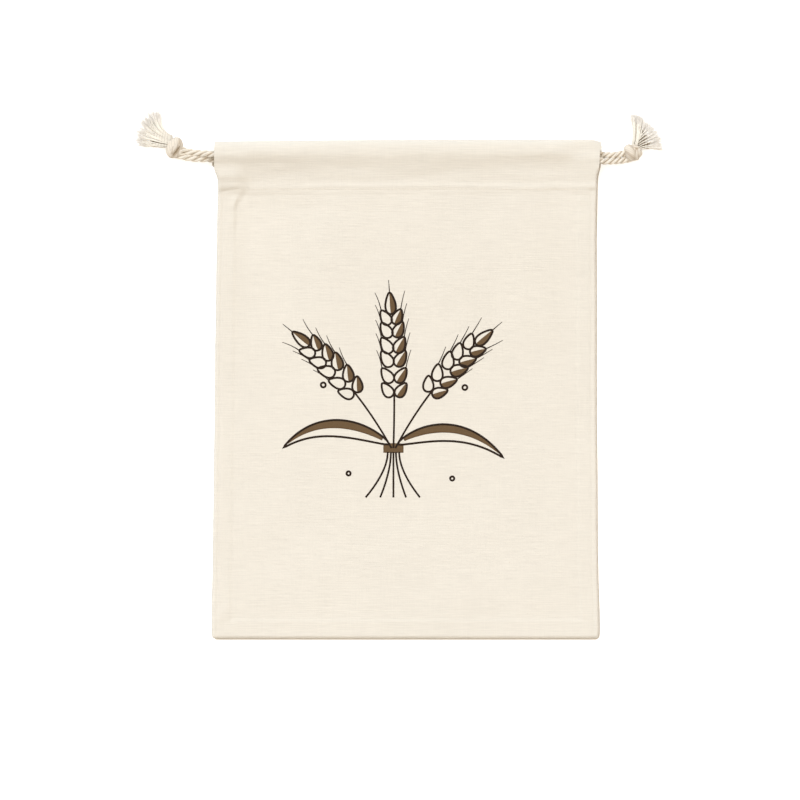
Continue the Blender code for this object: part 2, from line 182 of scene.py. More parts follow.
def smooth(low, high, value):
    t = np.clip((value - low) / (high - low), 0.0, 1.0)
    return t * t * (3 - 2 * t)


def through(table, at):
    """Smooth curve through a table's rows."""
    xs, ys = table.T
    slopes = np.gradient(ys, xs)
    limit = 3 * np.abs(np.diff(ys) / np.diff(xs))
    slopes[:-1] = np.clip(slopes[:-1], -limit, limit)
    slopes[1:] = np.clip(slopes[1:], -limit, limit)
    at = np.clip(at, xs[0], xs[-1])
    k = np.clip(np.searchsorted(xs, at) - 1, 0, len(xs) - 2)
    step = xs[k + 1] - xs[k]
    t = (at - xs[k]) / step
    return (
        (1 + 2 * t) * (1 - t) ** 2 * ys[k]
        + t * (1 - t) ** 2 * step * slopes[k]
        + t * t * (3 - 2 * t) * ys[k + 1]
        + t * t * (t - 1) * step * slopes[k + 1]
    )


def swell(value, centre, half):
    """1 at the centre, falling off smoothly to both sides."""
    return np.exp(-(((value - centre) / half) ** 2))


def lean(x):
    """How much lower the channel sits towards its left end."""
    return LEAN * np.clip((LEAN_FROM_X - x) / LEAN_SPAN, 0.0, LEAN_MOST)


def hem_height(x, y):
    lift = 1 - smooth(*MOUTH_ARCH, np.abs(x))
    low = HEM_LOW_END + (HEM_MIDDLE - HEM_LOW_END) * lift
    high = HEM_HIGH_END + (HEM_MIDDLE - HEM_HIGH_END) * lift
    return low + (high - low) * smooth(*HEM_CLIMB, y)


def fold_height(x, y):
    total = np.zeros(np.broadcast(x, y).shape)
    for at_x, at_y, angle, length, width, height in FOLDS:
        turn = math.radians(angle)
        dx, dy = x - at_x, y - at_y
        along = dx * math.cos(turn) + dy * math.sin(turn)
        across = -dx * math.sin(turn) + dy * math.cos(turn)
        total = total + height * np.exp(-((along / length) ** 2) - (across / width) ** 2)
    return total


def hem_fold(x, y):
    return fold_height(x, y) * (1 - smooth(*FOLDS_END, y))


def waves(x, y, rows):
    """Gentle unevenness: a few slow waves of (length across, length along, phase, height)."""
    total = 0.0
    for across, along, phase, height in rows:
        total = total + height * np.sin(2 * math.pi * (x / across + y / along) + phase)
    return total


BODY_WAVES = (
    (97, 143, 0.4, 0.1), (-61, 118, 1.9, 0.08), (171, -67, 2.8, 0.1), (43, 260, 4.4, 0.04),
    (-210, 49, 5.1, 0.05),
)
CHANNEL_WAVES = (
    (83, 900, 1.1, 0.35), (37, 700, 2.9, 0.3), (-19, 400, 0.3, 0.15), (11, 300, 2, 0.1),
)


def channel_rise(x, y):
    """Height of the front cloth over its hem."""
    rise = through(CHANNEL, y)
    for profile, side, start, full in CHANNEL_BLENDS:
        rise = rise + (through(profile, y) - rise) * smooth(start, full, side * x)
    return rise


def step_height(x):
    """How far the body lies under the channel's first row."""
    step = STEP
    for more, side, start, full in STEP_CHANGES:
        step = step + more * smooth(start, full, side * x)
    return step


def body_height(x, y):
    """Front cloth below the channel, climbing to it."""
    plateau = BODY_EDGE + BODY_CROWN * (1 - (x / CROWN_HALF) ** 2)
    top = hem_height(x, HEM_END_Y) + channel_rise(x, HEM_END_Y)
    step = step_height(x)
    body = plateau + (top - step - plateau) * smooth(*BODY_CLIMB, y) + step * smooth(*STEP_CLIMB, y)
    return body + fold_height(x, y)


def channel_height(x, y):
    """Front cloth over the hem and the cords."""
    moved = y + waves(x, y, CHANNEL_WAVES) * smooth(*WAVES_START, y) * (1 - smooth(*WAVES_END, y))
    slack = SLACK * np.cos(x / SLACK_WAVE) * (1 - smooth(*SLACK_ENDS, np.abs(x)))
    rise = channel_rise(x, moved) + slack * swell(moved, SLACK_Y, SLACK_HALF)
    channel = hem_height(x, y) + np.maximum(rise, HEM_ROOM) + hem_fold(x, y)
    return channel - step_height(x) * (1 - smooth(*STEP_CLIMB, y))


def front_height(x, y):
    """Middle of the front cloth away from its seams."""
    form = np.where(y < HEM_END_Y, body_height(x, y), channel_height(x, y))
    form = form + waves(x, y, BODY_WAVES) * (1 - smooth(*BODY_WAVES_END, y))
    pucker = np.sin(2 * math.pi * x / PUCKER_PITCH + PUCKER_DRIFT * np.sin(x / DRIFT_WAVE))
    pucker = pucker * swell(y, STITCH_Y, PUCKER_HALF)
    return form - STITCH_DIP * swell(y, STITCH_Y, DIP_HALF) + PUCKER * pucker


def roll(distance, radius):
    """Round of a seam: 0 at its edge, 1 from the radius inwards."""
    t = np.clip(distance / radius, 0.0, 1.0)
    return np.sqrt(np.maximum(1 - (1 - t) ** 2, 0.0))


# Rows and columns of the cloth. Near an edge they lie at these distances from it
EDGE_STEPS = np.array([
    0, 0.12, 0.35, 0.7, 1.1, 1.6, 2.2, 2.8, 3.4, 4, 4.8, 6, 7.5, 9.5, 12, 13.4, 14.2, 15, 16.4,
])
FRONT_COLUMNS, BACK_COLUMNS = 118, 58

# Rows of the front body from its seam on: (last y, how many); elsewhere (first y, last y, how many)
FRONT_BODY = (148, 126)
FRONT_CHANNEL = (149, 194.9, 55)
FRONT_HEM = (191, 154, 19)
BACK_BODY = (-188, 190, 110)
BACK_HEM_ROWS = (192, 154, 30)
BACK_EDGE_STEPS = 12

# Round of the fold at the mouth: rows of (y, height over the hem) in front and (y, height) at the back
FRONT_NOSE = (
    (195.6, 5.2), (196.2, 4.5), (196.5, 3.6), (196.66, 2.6), (196.45, 1.7), (195.9, 0.95), (195, 0.4),
    (194, 0.1), (192.8, 0),
)
BACK_NOSE = (
    (192, 0.5), (193.6, 0.55), (194.8, 0.85), (195.8, 1.5), (196.4, 2.3), (196.7, 3.2), (196.7, 4.3),
    (196.4, 5.1), (195.7, 5.9), (194.8, 6.4), (193.7, 6.65),
)
# from these rows of the round on, the cloth is only as wide as the hem
FRONT_TURNED, BACK_TURNED = 4, 7

# How far the front cloth's edges lie inside the outline, and the back cloth's outside or inside it
FRONT_FOOT, BACK_FOOT = 0.9, 0.85
LEFT_INSET = 0.35
RIGHT_INSET, RIGHT_INSET_THICK, RIGHT_INSET_OPEN, RIGHT_INSET_MOUTH = 1.25, 0.4, 0.5, 0.6
THICKER, CLOSER, CLOSER_SHARE = (60.0, 150.0), (187.0, 192.0), 0.65
FRONT_LEFT_END = -151.8
BACK_INSET = 0.9

# Rolled seams: radius at the left, the right and the bottom
ROLL_LEFT, ROLL_RIGHT, ROLL_BOTTOM = 1.9, 1.3, 1.9

# Seam allowance lying inside: its height and where it ends, and the groove beside the rolled edge
ALLOWANCE, ALLOWANCE_WIDTH, CORNER_WIDTH = 0.30, (13.2, 15.2), (12.0, 15.5)
GROOVE, GROOVE_AT, GROOVE_HALF = 0.28, 3.9, 0.6


def across(y, count, half=None, left_inset=0.0, right_inset=0.0):
    """Places of the columns at one height of the bag."""
    left = np.interp(y, EDGES[:, 0], EDGES[:, 1]) + left_inset
    right = np.interp(y, EDGES[:, 0], EDGES[:, 2]) - right_inset
    if half:
        left, right = -half, half
    middle = np.linspace(left + EDGE_STEPS[-1], right - EDGE_STEPS[-1], count + 1)[1:-1]
    return np.concatenate([left + EDGE_STEPS, middle, (right - EDGE_STEPS)[::-1]])


def droop(x, y):
    """How far the folded top edge drops at the bag's two upper corners."""
    right = DROOP_RIGHT[0] * smooth(*DROOP_RIGHT[1:], x)
    left = DROOP_LEFT[0] * smooth(*DROOP_LEFT[1:], -x)
    lift = MOUTH_LIFT * smooth(*LIFT_CLIMB, y)
    return (right + left) * smooth(*DROOP_CLIMB, y) + lean(x) * smooth(*LEAN_CLIMB, y) - lift


def row_at(xs, y, z):
    return np.stack([xs, np.full_like(xs, y), np.broadcast_to(z, xs.shape)], 1)


def grid_of(rows):
    """All rows of a cloth as one grid, with the droop of its top edge."""
    grid = np.array(rows)
    grid[..., 1] -= droop(grid[..., 0], grid[..., 1])
    return grid


def front_row(y, below):
    """One row of the front cloth, rolled down at its sides; below is its distance from the bottom seam."""
    free = smooth(*SIDE_SEAM_END, y)
    bulge = max(0.0, FRONT_LEFT_END - np.interp(y, EDGES[:, 0], EDGES[:, 1]))
    left_inset = LEFT_INSET * (1 - free) + bulge * smooth(*OPEN_END, y)
    right_inset = RIGHT_INSET + RIGHT_INSET_THICK * smooth(*THICKER, y) + RIGHT_INSET_OPEN * free
    right_inset = right_inset * (1 - CLOSER_SHARE * smooth(*CLOSER, y))
    xs = across(y, FRONT_COLUMNS, None, left_inset, right_inset)
    from_left, from_right = xs - xs[0], xs[-1] - xs
    side = np.minimum(from_left, from_right)
    rolled = roll(from_left, ROLL_LEFT) * roll(from_right, ROLL_RIGHT) * (1 - free) + free
    seamed = 1 - smooth(*ALLOWANCE_END, y)
    z = front_height(xs, np.full_like(xs, y))
    z = z + ALLOWANCE * (1 - smooth(*ALLOWANCE_WIDTH, side)) * seamed
    z = z + ALLOWANCE * (1 - smooth(*ALLOWANCE_WIDTH, below)) * smooth(*CORNER_WIDTH, side)
    z = z - GROOVE * swell(side, GROOVE_AT, GROOVE_HALF) * seamed
    return row_at(xs, y, SEAM_FOOT + (z - SEAM_FOOT) * rolled * roll(below, ROLL_BOTTOM))


def front_rows():
    """Middle of the front cloth: up the body and the channel, round the fold and down the hem."""
    bottom = -HALF_HEIGHT + FRONT_FOOT
    seam = bottom + EDGE_STEPS
    body = np.linspace(seam[-1], *FRONT_BODY)[1:]
    rows = [front_row(y, y - bottom) for y in [*seam, *body, *np.linspace(*FRONT_CHANNEL)]]
    for index, (y, height) in enumerate(FRONT_NOSE):
        half = HEM_HALF if index >= FRONT_TURNED else None
        xs = across(y, FRONT_COLUMNS, half, 0.0, RIGHT_INSET_MOUTH)
        rows.append(row_at(xs, y, hem_height(xs, y) + height))
    for y in np.linspace(*FRONT_HEM):
        xs = across(y, FRONT_COLUMNS, HEM_HALF)
        rows.append(row_at(xs, y, hem_height(xs, y) + hem_fold(xs, y)))
    return grid_of(rows)


def back_rows():
    """Middle of the back cloth: along the surface it lies on, round the fold and down its hem."""
    rows = []
    for y in [*(-HALF_HEIGHT - BACK_FOOT + EDGE_STEPS[:BACK_EDGE_STEPS]), *np.linspace(*BACK_BODY)]:
        inset = BACK_INSET * (1 - smooth(*BACK_INSET_END, y))
        rows.append(row_at(across(y, BACK_COLUMNS, None, inset), y, CLOTH / 2))
    for index, (y, height) in enumerate(BACK_NOSE):
        half = HEM_HALF if index >= BACK_TURNED else None
        rows.append(row_at(across(y, BACK_COLUMNS, half), y, height))
    for y in np.linspace(*BACK_HEM_ROWS):
        z = through(BACK_HEM, y) - BACK_DIP * swell(y, STITCH_Y, BACK_DIP_HALF)
        rows.append(row_at(across(y, BACK_COLUMNS, HEM_HALF), y, z))
    return grid_of(rows)


# Meshes
def add_mesh(name, verts, faces, uvs, material):
    """A piece from points in millimetres, with a pair of uvs for each, in metres along the piece."""
    mesh = bpy.data.meshes.new(name)
    mesh.from_pydata((np.asarray(verts, float) * MM).tolist(), [], [list(map(int, f)) for f in faces])
    layer = mesh.uv_layers.new(name="UVMap")
    index = np.zeros(len(mesh.loops), dtype=np.int32)
    mesh.loops.foreach_get("vertex_index", index)
    layer.data.foreach_set("uv", np.asarray(uvs, float)[index].ravel())
    mesh.materials.append(material)
    mesh.validate()
    mesh.update()
    mesh.shade_smooth()
    obj = bpy.data.objects.new(name, mesh)
    SCENE.collection.objects.link(obj)
    return obj


def quads(index):
    return np.stack([index[:-1, :-1], index[:-1, 1:], index[1:, 1:], index[1:, :-1]], -1).reshape(-1, 4)


def sheet_mesh(name, rows):
    tall, wide = rows.shape[:2]
    faces = quads(np.arange(tall * wide).reshape(tall, wide))
    step = np.linalg.norm(np.diff(rows, axis=0), axis=2).mean(1)
    down = np.concatenate([[0.0], np.cumsum(step)])
    uvs = np.stack([rows[:, :, 0], np.repeat(down[:, None], wide, 1)], -1).reshape(-1, 2) * MM
    obj = add_mesh(name, rows.reshape(-1, 3), faces, uvs, canvas)
    shell = obj.modifiers.new("cloth thickness", "SOLIDIFY")
    shell.thickness = CLOTH * MM
    shell.offset = 0.0
    shell.use_rim = True
    return obj, down


def distances(points):
    """How far along a line each of its points lies."""
    return np.concatenate([[0.0], np.cumsum(np.linalg.norm(np.diff(points, axis=0), axis=1))])


def frames(points):
    """Direction and two side directions at each point of a line, turning as little as possible."""
    tangent = np.gradient(points, axis=0)
    tangent /= np.linalg.norm(tangent, axis=1)[:, None]
    side = np.zeros_like(points)
    first = np.cross(tangent[0], (0.0, 0.0, 1.0))
    side[0] = first / np.linalg.norm(first)
    for i in range(1, len(points)):
        s = side[i - 1] - tangent[i] * side[i - 1].dot(tangent[i])
        side[i] = s / np.linalg.norm(s)
    return tangent, side, np.cross(tangent, side)


def tube(points, radii, count, twist=0.0, section=np.ones_like):
    """Points, faces and uvs of a tube along a line.

    section gives the shape of the round by angle, and twist the turn at each point.
    """
    points = np.asarray(points, float)
    _, side, up = frames(points)
    n = len(points)
    radii, twist = (np.broadcast_to(value, n)[:, None] for value in (radii, twist))
    angle = np.linspace(0, 2 * math.pi, count, endpoint=False)
    shape = section(angle)
    a = angle + twist
    ring = (
        points[:, None]
        + (np.cos(a) * shape * radii)[..., None] * side[:, None]
        + (np.sin(a) * shape * radii)[..., None] * up[:, None]
    )
    index = np.arange(n * count).reshape(n, count)
    closed = np.concatenate([index, index[:, :1]], 1)
    faces = [*quads(closed).tolist(), index[0][::-1].tolist(), index[-1].tolist()]
    uv = np.stack(np.broadcast_arrays(angle / (2 * math.pi), distances(points)[:, None] * MM), -1)
    return ring.reshape(-1, 3), faces, uv.reshape(-1, 2)


def join(parts):
    """Several tubes or strips as one mesh."""
    verts, faces, uvs = zip(*parts)
    starts = np.cumsum([0, *map(len, verts)])
    moved = [[i + start for i in face] for start, part in zip(starts, faces) for face in part]
    return np.concatenate(verts), moved, np.concatenate(uvs)


SPLINE_STEPS = 24


def spline(points, spacing):
    """Points along a smooth line through the given ones, about spacing apart."""
    p = np.asarray(points, float)
    p = np.concatenate([[2 * p[0] - p[1]], p, [2 * p[-1] - p[-2]]])
    t = np.linspace(0, 1, SPLINE_STEPS, endpoint=False)[:, None]
    fine = [
        0.5 * (2 * b + (c - a) * t + (2 * a - 5 * b + 4 * c - d) * t**2 + (3 * b - a - 3 * c + d) * t**3)
        for a, b, c, d in zip(p, p[1:], p[2:], p[3:])
    ]
    fine = np.concatenate([*fine, [p[-2]]])
    run = distances(fine)
    at = np.linspace(0, run[-1], max(int(run[-1] / spacing), 4) + 1)
    return np.stack([np.interp(at, run, fine[:, k]) for k in range(3)], 1)


# Materials
class Nodes:
    """Short way to build the nodes of a material or of the sky."""

    def __init__(self, owner):
        owner.use_nodes = True
        self.owner, self.tree = owner, owner.node_tree
        self.shader = self.tree.nodes.get("Principled BSDF")

    def put(self, socket, value):
        if hasattr(value, "is_output"):
            self.tree.links.new(value, socket)
        elif socket.type == "RGBA" and len(value) == 3:
            socket.default_value = (*value, 1.0)
        else:
            socket.default_value = value

    def node(self, kind, *values, operation=None, **named):
        """A new node with its inputs set, by place and by name."""
        node = self.tree.nodes.new("ShaderNode" + kind)
        if operation:
            node.operation = operation
        for socket, value in [*zip(node.inputs, values), *((node.inputs[k], v) for k, v in named.items())]:
            self.put(socket, value)
        return node

    def math(self, kind, *values):
        return self.node("Math", *values, operation=kind).outputs[0]

    def plus(self, first, second):
        return self.math("ADD", first, second)

    def times(self, first, second):
        return self.math("MULTIPLY", first, second)

    def place(self, kind="UV"):
        return self.node("SeparateXYZ", self.node("TexCoord").outputs[kind]).outputs

    def noise(self, x, y, scale_x, scale_y, detail=2.0, rough=0.5):
        at = self.node("CombineXYZ", self.times(x, scale_x), self.times(y, scale_y)).outputs[0]
        return self.node("TexNoise", Vector=at, Scale=1.0, Detail=detail, Roughness=rough).outputs["Fac"]

    def span(self, value, low, high, to_low, to_high):
        return self.node("MapRange", value, low, high, to_low, to_high).outputs[0]

    def mix(self, share, first, second):
        node = self.tree.nodes.new("ShaderNodeMix")
        node.data_type = "RGBA"
        self.put(node.inputs[0], share)
        self.put(node.inputs[6], first)
        self.put(node.inputs[7], second)
        return node.outputs[2]

    def shade(self, colour, factor):
        """Colour times a number."""
        return self.node("VectorMath", colour, operation="SCALE", Scale=factor).outputs[0]

    def bump(self, height, distance, strength):
        node = self.node("Bump", Strength=strength, Distance=distance, Height=height)
        self.put(self.shader.inputs["Normal"], node.outputs[0])

    def finish(self, colour, roughness, sheen=0.0):
        for name, value in (
            ("Base Color", colour), ("Roughness", roughness), ("Specular IOR Level", 0.25),
            ("Sheen Weight", sheen), ("Sheen Roughness", 0.5),
        ):
            self.put(self.shader.inputs[name], value)
        return self.owner


def weave(n, u, v, pitch):
    """Height of a plain weave, 0 between the threads and 1 on top of them."""
    drift_u = n.times(n.plus(n.noise(u, v, 300, 24), -0.5), pitch * 0.9)
    drift_v = n.times(n.plus(n.noise(u, v, 24, 300), -0.5), pitch * 0.9)
    su = n.math("SINE", n.times(n.plus(u, drift_u), math.pi / pitch))
    sv = n.math("SINE", n.times(n.plus(v, drift_v), math.pi / pitch))
    turn = n.times(n.times(su, sv), 0.5)
    warp = n.times(n.math("ABSOLUTE", su), n.plus(0.5, turn))
    weft = n.times(n.math("ABSOLUTE", sv), n.math("SUBTRACT", 0.5, turn))
    return n.math("MAXIMUM", warp, weft)


CANVAS = (0.735, 0.680, 0.588)
COTTON = (0.82, 0.748, 0.632)
# the knot's cord, painted darker than the free cord as the shade over the knot
PAINTED_SHADE_KNOT_COTTON = (0.73, 0.65, 0.54)
TASSEL_COTTON = (0.92, 0.86, 0.75)
# dark cotton painted as shade: short plies inside the tassels and the yarn in a knot's crease
PAINTED_SHADE_COTTON = (0.33, 0.25, 0.16)
LOOSE_COTTON = (0.90, 0.85, 0.775)
THREAD = (0.765, 0.70, 0.60)
INK = (0.126, 0.072, 0.029)
INK_LINE = (0.019, 0.008, 0.002)

# Pitch of the weave, height of its relief and of a yarn's, in metres
PITCH = 0.00083
CLOTH_RELIEF, YARN_RELIEF, FINE_RELIEF = 0.00022, 0.00016, 0.00005

# Share of the cloth's colour left in a fleck, and of a cord's left where the grooves between its strands are
# painted as shade
FLECK = (0.72, 0.62, 0.5)
PAINTED_GROOVE_SHADE = (0.42, 0.32, 0.21)


def dimmed(colour, shares):
    return tuple(c * share for c, share in zip(colour, shares))


def canvas_material(name, colour, printed=None, bare=0.0):
    """Woven cloth with slubs, slow clouds and flecks; ink over it leaves a share bare between the threads."""
    n = Nodes(bpy.data.materials.new(name))
    u, v, _ = n.place()
    height = weave(n, u, v, PITCH)
    slub = n.noise(u, v, 55, 1250, 3.0, 0.6)
    warp_slub = n.noise(u, v, 1300, 45, 2.0, 0.6)
    cloud = n.noise(u, v, 14, 11, 3.0)
    tone = n.plus(n.span(height, 0.1, 1.0, -0.05, 0.03), n.span(slub, 0.3, 0.7, -0.045, 0.045))
    tone = n.plus(tone, n.span(warp_slub, 0.3, 0.7, -0.014, 0.014))
    tone = n.plus(tone, n.span(cloud, 0.3, 0.7, -0.010, 0.010))
    shaded = n.shade(colour, n.plus(1.0, tone))
    fleck = n.noise(u, v, 620, 420, 1.0)
    shaded = n.mix(n.span(fleck, 0.79, 0.84, 0.0, 0.5), shaded, dimmed(colour, FLECK))
    if printed:
        wear = n.noise(u, v, 900, 900, 3.0, 0.7)
        thin = n.times(n.span(height, 0.12, 0.42, bare, 0.0), n.span(wear, 0.35, 0.65, 0.4, 1.0))
        shaded = n.mix(thin, n.shade(printed, n.plus(1.0, n.times(tone, 2.0))), colour)
    relief = n.plus(height, n.span(slub, 0.3, 0.7, -0.3, 0.3))
    n.bump(relief, CLOTH_RELIEF, 0.7)
    return n.finish(shaded, n.span(height, 0.0, 1.0, 0.98, 0.88), 0.08)


def yarn_material(name, colour, around, along, twist, dark, relief=YARN_RELIEF, groove_shade=0.0, root=0.0):
    """Spun cotton: fine fibres running along the yarn at a slant.

    It is darker between the fibres. Painted shade darkens the grooves between a cord's three strands and, by
    root, the start of a tassel's plies by the knot.
    """
    n = Nodes(bpy.data.materials.new(name))
    u, v, _ = n.place()
    phase = n.plus(n.times(u, around), n.times(v, twist))
    wave = n.math("SINE", n.times(phase, 2 * math.pi))
    fibre = n.noise(phase, v, 3.0, along, 3.0, 0.65)
    height = n.plus(n.times(wave, 0.5), n.times(fibre, 1.2))
    cloud = n.noise(u, v, 1.0, 160, 2.0)
    tone = n.plus(n.span(wave, -1.0, 0.2, dark - 1.0, 0.02), n.span(fibre, 0.3, 0.7, -0.06, 0.06))
    tone = n.plus(tone, n.span(cloud, 0.3, 0.7, -0.03, 0.03))
    # painted shade: a tassel's plies are coloured darker where they start at the knot
    if root:
        tone = n.plus(tone, n.span(v, 0.002, 0.013, -root, 0.0))
    shaded = n.shade(colour, n.plus(1.0, tone))
    # painted shade: the grooves between the cord's three strands are coloured darker
    if groove_shade:
        valley = n.math("COSINE", n.times(u, 6 * math.pi))
        painted_shade = n.span(valley, -1.0, -0.2, groove_shade, 0.0)
        shaded = n.mix(painted_shade, shaded, dimmed(colour, PAINTED_GROOVE_SHADE))
    n.bump(height, relief, 0.8)
    return n.finish(shaded, 0.9, 0.12)


def loose_material(name, colour):
    n = Nodes(bpy.data.materials.new(name))
    u, v, _ = n.place()
    tone = n.span(n.noise(u, v, 1.0, 300, 2.0), 0.3, 0.7, 0.90, 1.05)
    return n.finish(n.shade(colour, tone), 1.0)


canvas = canvas_material("canvas_weave", CANVAS)
ink_fill = canvas_material("printed_fill", CANVAS, INK, 0.11)
ink_line = canvas_material("printed_line", CANVAS, INK_LINE, 0.03)
rope_cotton = yarn_material("rope_cotton", COTTON, 12, 900, 260, 0.84, groove_shade=0.55)
painted_shade_knot_cotton = yarn_material("painted_shade_knot_cotton", PAINTED_SHADE_KNOT_COTTON, 12, 900, 260, 0.86, groove_shade=0.4)
# its plies painted darker at the root, as the knot's shade on them
tassel_cotton = yarn_material("tassel_cotton", TASSEL_COTTON, 3, 1400, 500, 0.86, FINE_RELIEF, root=0.13)
painted_shade_cotton = yarn_material("painted_shade_cotton", PAINTED_SHADE_COTTON, 3, 1400, 500, 0.86, FINE_RELIEF)
loose_cotton = loose_material("loose_cotton", LOOSE_COTTON)
thread_cotton = yarn_material("sewing_cotton", THREAD, 2, 3000, 2200, 0.9, FINE_RELIEF)


# Cords. Each runs through the front of the channel, round at its far end and back through the rear
CORD_CLEAR = 2.75
CORD_BACK_Z = 3.8
BIGHT_X, BIGHT_REACH = 142.0, 5.5
BIGHT_HIGH_Y, BIGHT_LOW_Y = 187.0, 181.5

# the two runs side by side: (y in the middle of the channel, how far the cord sinks at the ends)
HIGH_RUN, LOW_RUN = (191.4, 4.6), (186.7, 4.5)
RUN_HEM_Y = 190.8
RUN_HALF = (0.1, 0.3, 0.5, 0.65, 0.74, 0.84, 0.94, 1.0)


def channel_run(side, run, front):
    xs = side * np.array([*(-share for share in RUN_HALF[::-1]), *RUN_HALF]) * BIGHT_X
    # less at the left end
    sunk = (run[1] - 1.0 * (xs < 0)) * smooth(*CORD_SINK, np.abs(xs))
    ys = run[0] - sunk - lean(xs)
    zs = hem_height(xs, RUN_HEM_Y) + CORD_CLEAR if front else np.full_like(xs, CORD_BACK_Z)
    return np.stack([xs, ys, zs], 1)


def bight(side, front_y, back_y):
    """The bend round at the far end of the channel."""
    high = float(hem_height(BIGHT_X, RUN_HEM_Y)) + CORD_CLEAR
    turn = np.radians(np.arange(20, 180, 20))
    share = (1 - np.cos(turn)) / 2
    xs = side * (BIGHT_X + BIGHT_REACH * np.sin(turn))
    return np.stack([xs, front_y + (back_y - front_y) * share, high + (CORD_BACK_Z - high) * share], 1)


def cord_route(side, tails):
    """From one knotted end to the other; the left cord, side 1, runs high in front and low at the rear."""
    front, rear, front_y, rear_y = HIGH_RUN, LOW_RUN, BIGHT_HIGH_Y, BIGHT_LOW_Y
    if side < 0:
        front, rear, front_y, rear_y = rear, front, rear_y, front_y
    out = channel_run(side, front, True)
    back = channel_run(side, rear, False)[::-1]
    return np.concatenate([tails[0], out, bight(side, front_y, rear_y), back, tails[1]])


LEFT_TAILS = (
    [(-180.6, 190.6, 6.2), (-177.2, 189.7, 6.4), (-170.8, 188.1, 7), (-164, 187.2, 8.2), (-157, 186.7, 9.9),
     (-149.5, 186.5, 10.75)],
    [(-149.5, 182.7, 3.82), (-157, 183.1, 5.2), (-164, 183.2, 6.4), (-170, 183.5, 6.9), (-178, 184.9, 6.4),
     (-181.6, 186.6, 6.2)],
)
RIGHT_TAILS = (
    [(184, 189.4, 7), (183.2, 186.2, 6.2), (179.4, 184, 5.4), (173.5, 182.5, 5.6), (167.5, 181.6, 7),
     (162, 181.1, 8.8), (156.5, 180.9, 10.2), (149.5, 181.3, 10.75)],
    [(149.5, 186.6, 3.82), (156, 185.8, 5.6), (161, 185.6, 7.2), (167, 186.2, 7.8), (171.3, 187.4, 7),
     (175, 188.5, 6.2)],
)
# Length of one turn of the strands, in the knots and in each drawstring, and the rope's thickness in the
# channel, what it gains outside, and where
LAY, LAY_LEFT, LAY_RIGHT = 18.2, 19.4, 14.94
ROPE_INSIDE, ROPE_MORE = 4.4, 1.4
ROPE_FREE = (148.0, 153.5)
ROPE_STEP = 0.85


def rope_section(spread):
    """Outline of three round strands laid together, as a share of the cord's radius."""
    def section(angle):
        near = np.abs((angle + math.pi / 3) % (2 * math.pi / 3) - math.pi / 3)
        r = spread * np.cos(near) + np.sqrt(np.maximum(1 - (spread * np.sin(near)) ** 2, 0.0))
        return r / (1 + spread)

    return section


def rope(points, diameter, spread=1.0, lay=LAY, count=36):
    turn = -2 * math.pi * distances(points) / lay
    return tube(points, diameter / 2, count, twist=turn, section=rope_section(spread))


cords = {}
for name, side, tails, exit_point, lay in (
    ("drawstring_left", 1, LEFT_TAILS, (-151.9, 184.3, 8.0), LAY_LEFT),
    ("drawstring_right", -1, RIGHT_TAILS, (153.8, 184.3, 8.0), LAY_RIGHT),
):
    line = spline(cord_route(side, tails), ROPE_STEP)
    free = smooth(*ROPE_FREE, np.abs(line[:, 0]))
    piece = add_mesh(name + "_rope", *rope(line, ROPE_INSIDE + ROPE_MORE * free, lay=lay), rope_cotton)
    cords[name] = (piece, line, exit_point)


# Knots and tassels
# turns: each turn of cord, as the way it faces, offset that way, shift across, half reach, height over
# the middle, slant, diameter and depth of the strands
# heart, long: half length, radius and angle of what fills the knot; root, away: the tassel's start and way
# tips: rows of share across the tassel, angle and reach of the tip from the root, way of the ply there,
# its start across the root, how much of it holds together, and its start along the tassel
# counts: plies in the lower, middle and upper layer; gaps: upper ones left out; ply: their thickness
# level: how far a ply first follows the tassel's way; stagger: shift of the layers, in plies
# dark: how many plies of the middle layer are painted dark as shade, and their share of the length
# loose: fibres at each ply's end; seed: of the random draws; crease: the dark yarn painted as the crease's
# shade, as (x, y)
KNOTS = {
    "knot_left": dict(
        centre=(-183.8, 191.8, 6.6), long=66, heart=(8.8, 6.2), seed=3, loose=10,
        root=(-188, 197, 6.6), away=177, counts=(20, 22, 20), level=0.78, stagger=0.25, dark=(12, 0.58),
        ply=1, gaps=(1, 4), crease=((-185.3, 185.2), (-182.8, 187.9), (-180.7, 190.5), (-179.2, 193)),
        tips=((0, 188, 24.5, 176, -5.6, 0.9, 0), (0.2, 178, 26.5, 175, -3.4, 0.9, 0),
              (0.4, 165, 28, 164, -1.4, 0.86, 0), (0.6, 143, 28.2, 136, 0.6, 0.8, 0),
              (0.8, 122, 28.8, 108, 2.6, 0.76, 0), (1, 108.5, 24.8, 91, 4.6, 0.74, 0)),
        turns=((141, -0.9, -0.6, 4.4, 3.2, 0.2, 4.4, 0.15), (141, -5.6, -1.4, 3, 0.3, -0.2, 5, 0.15)),
    ),
    "knot_right": dict(
        centre=(178.5, 188.2, 6.6), long=60, heart=(5.6, 5), seed=11, loose=16,
        root=(182.4, 193, 6.8), away=50, counts=(18, 22, 13), level=0.1, stagger=-0.1, dark=(14, 0.45),
        ply=1.12, gaps=(), crease=(),
        tips=((0, -6, 21.8, 0, -2.8, 0.54, 0), (0.1, 5, 21, 8, -2.1, 0.54, 1.5),
              (0.2, 20, 20.8, 26, -1, 0.52, 2.8), (0.3, 35, 20.6, 40, 0.3, 0.5, 4.2),
              (0.4, 48, 20.6, 52, 1.8, 0.48, 6), (0.55, 69, 22, 66, 3.4, 0.46, 7.8),
              (0.61, 78, 23, 82, -1, 0.8, 0), (0.8, 89, 24.4, 88, 1.2, 0.84, 0),
              (1, 100, 26.4, 93, 3.8, 0.86, 0)),
        turns=((18, -2, -0.1, 3, 2.3, 0, 8.2, 0.1), (-22, 4.5, -0.5, 3.4, 2.6, 0.3, 4.2, 0.6),
               (62, 5, 1, 2.3, 2, 0.2, 3.2, 0.4)),
    ),
}


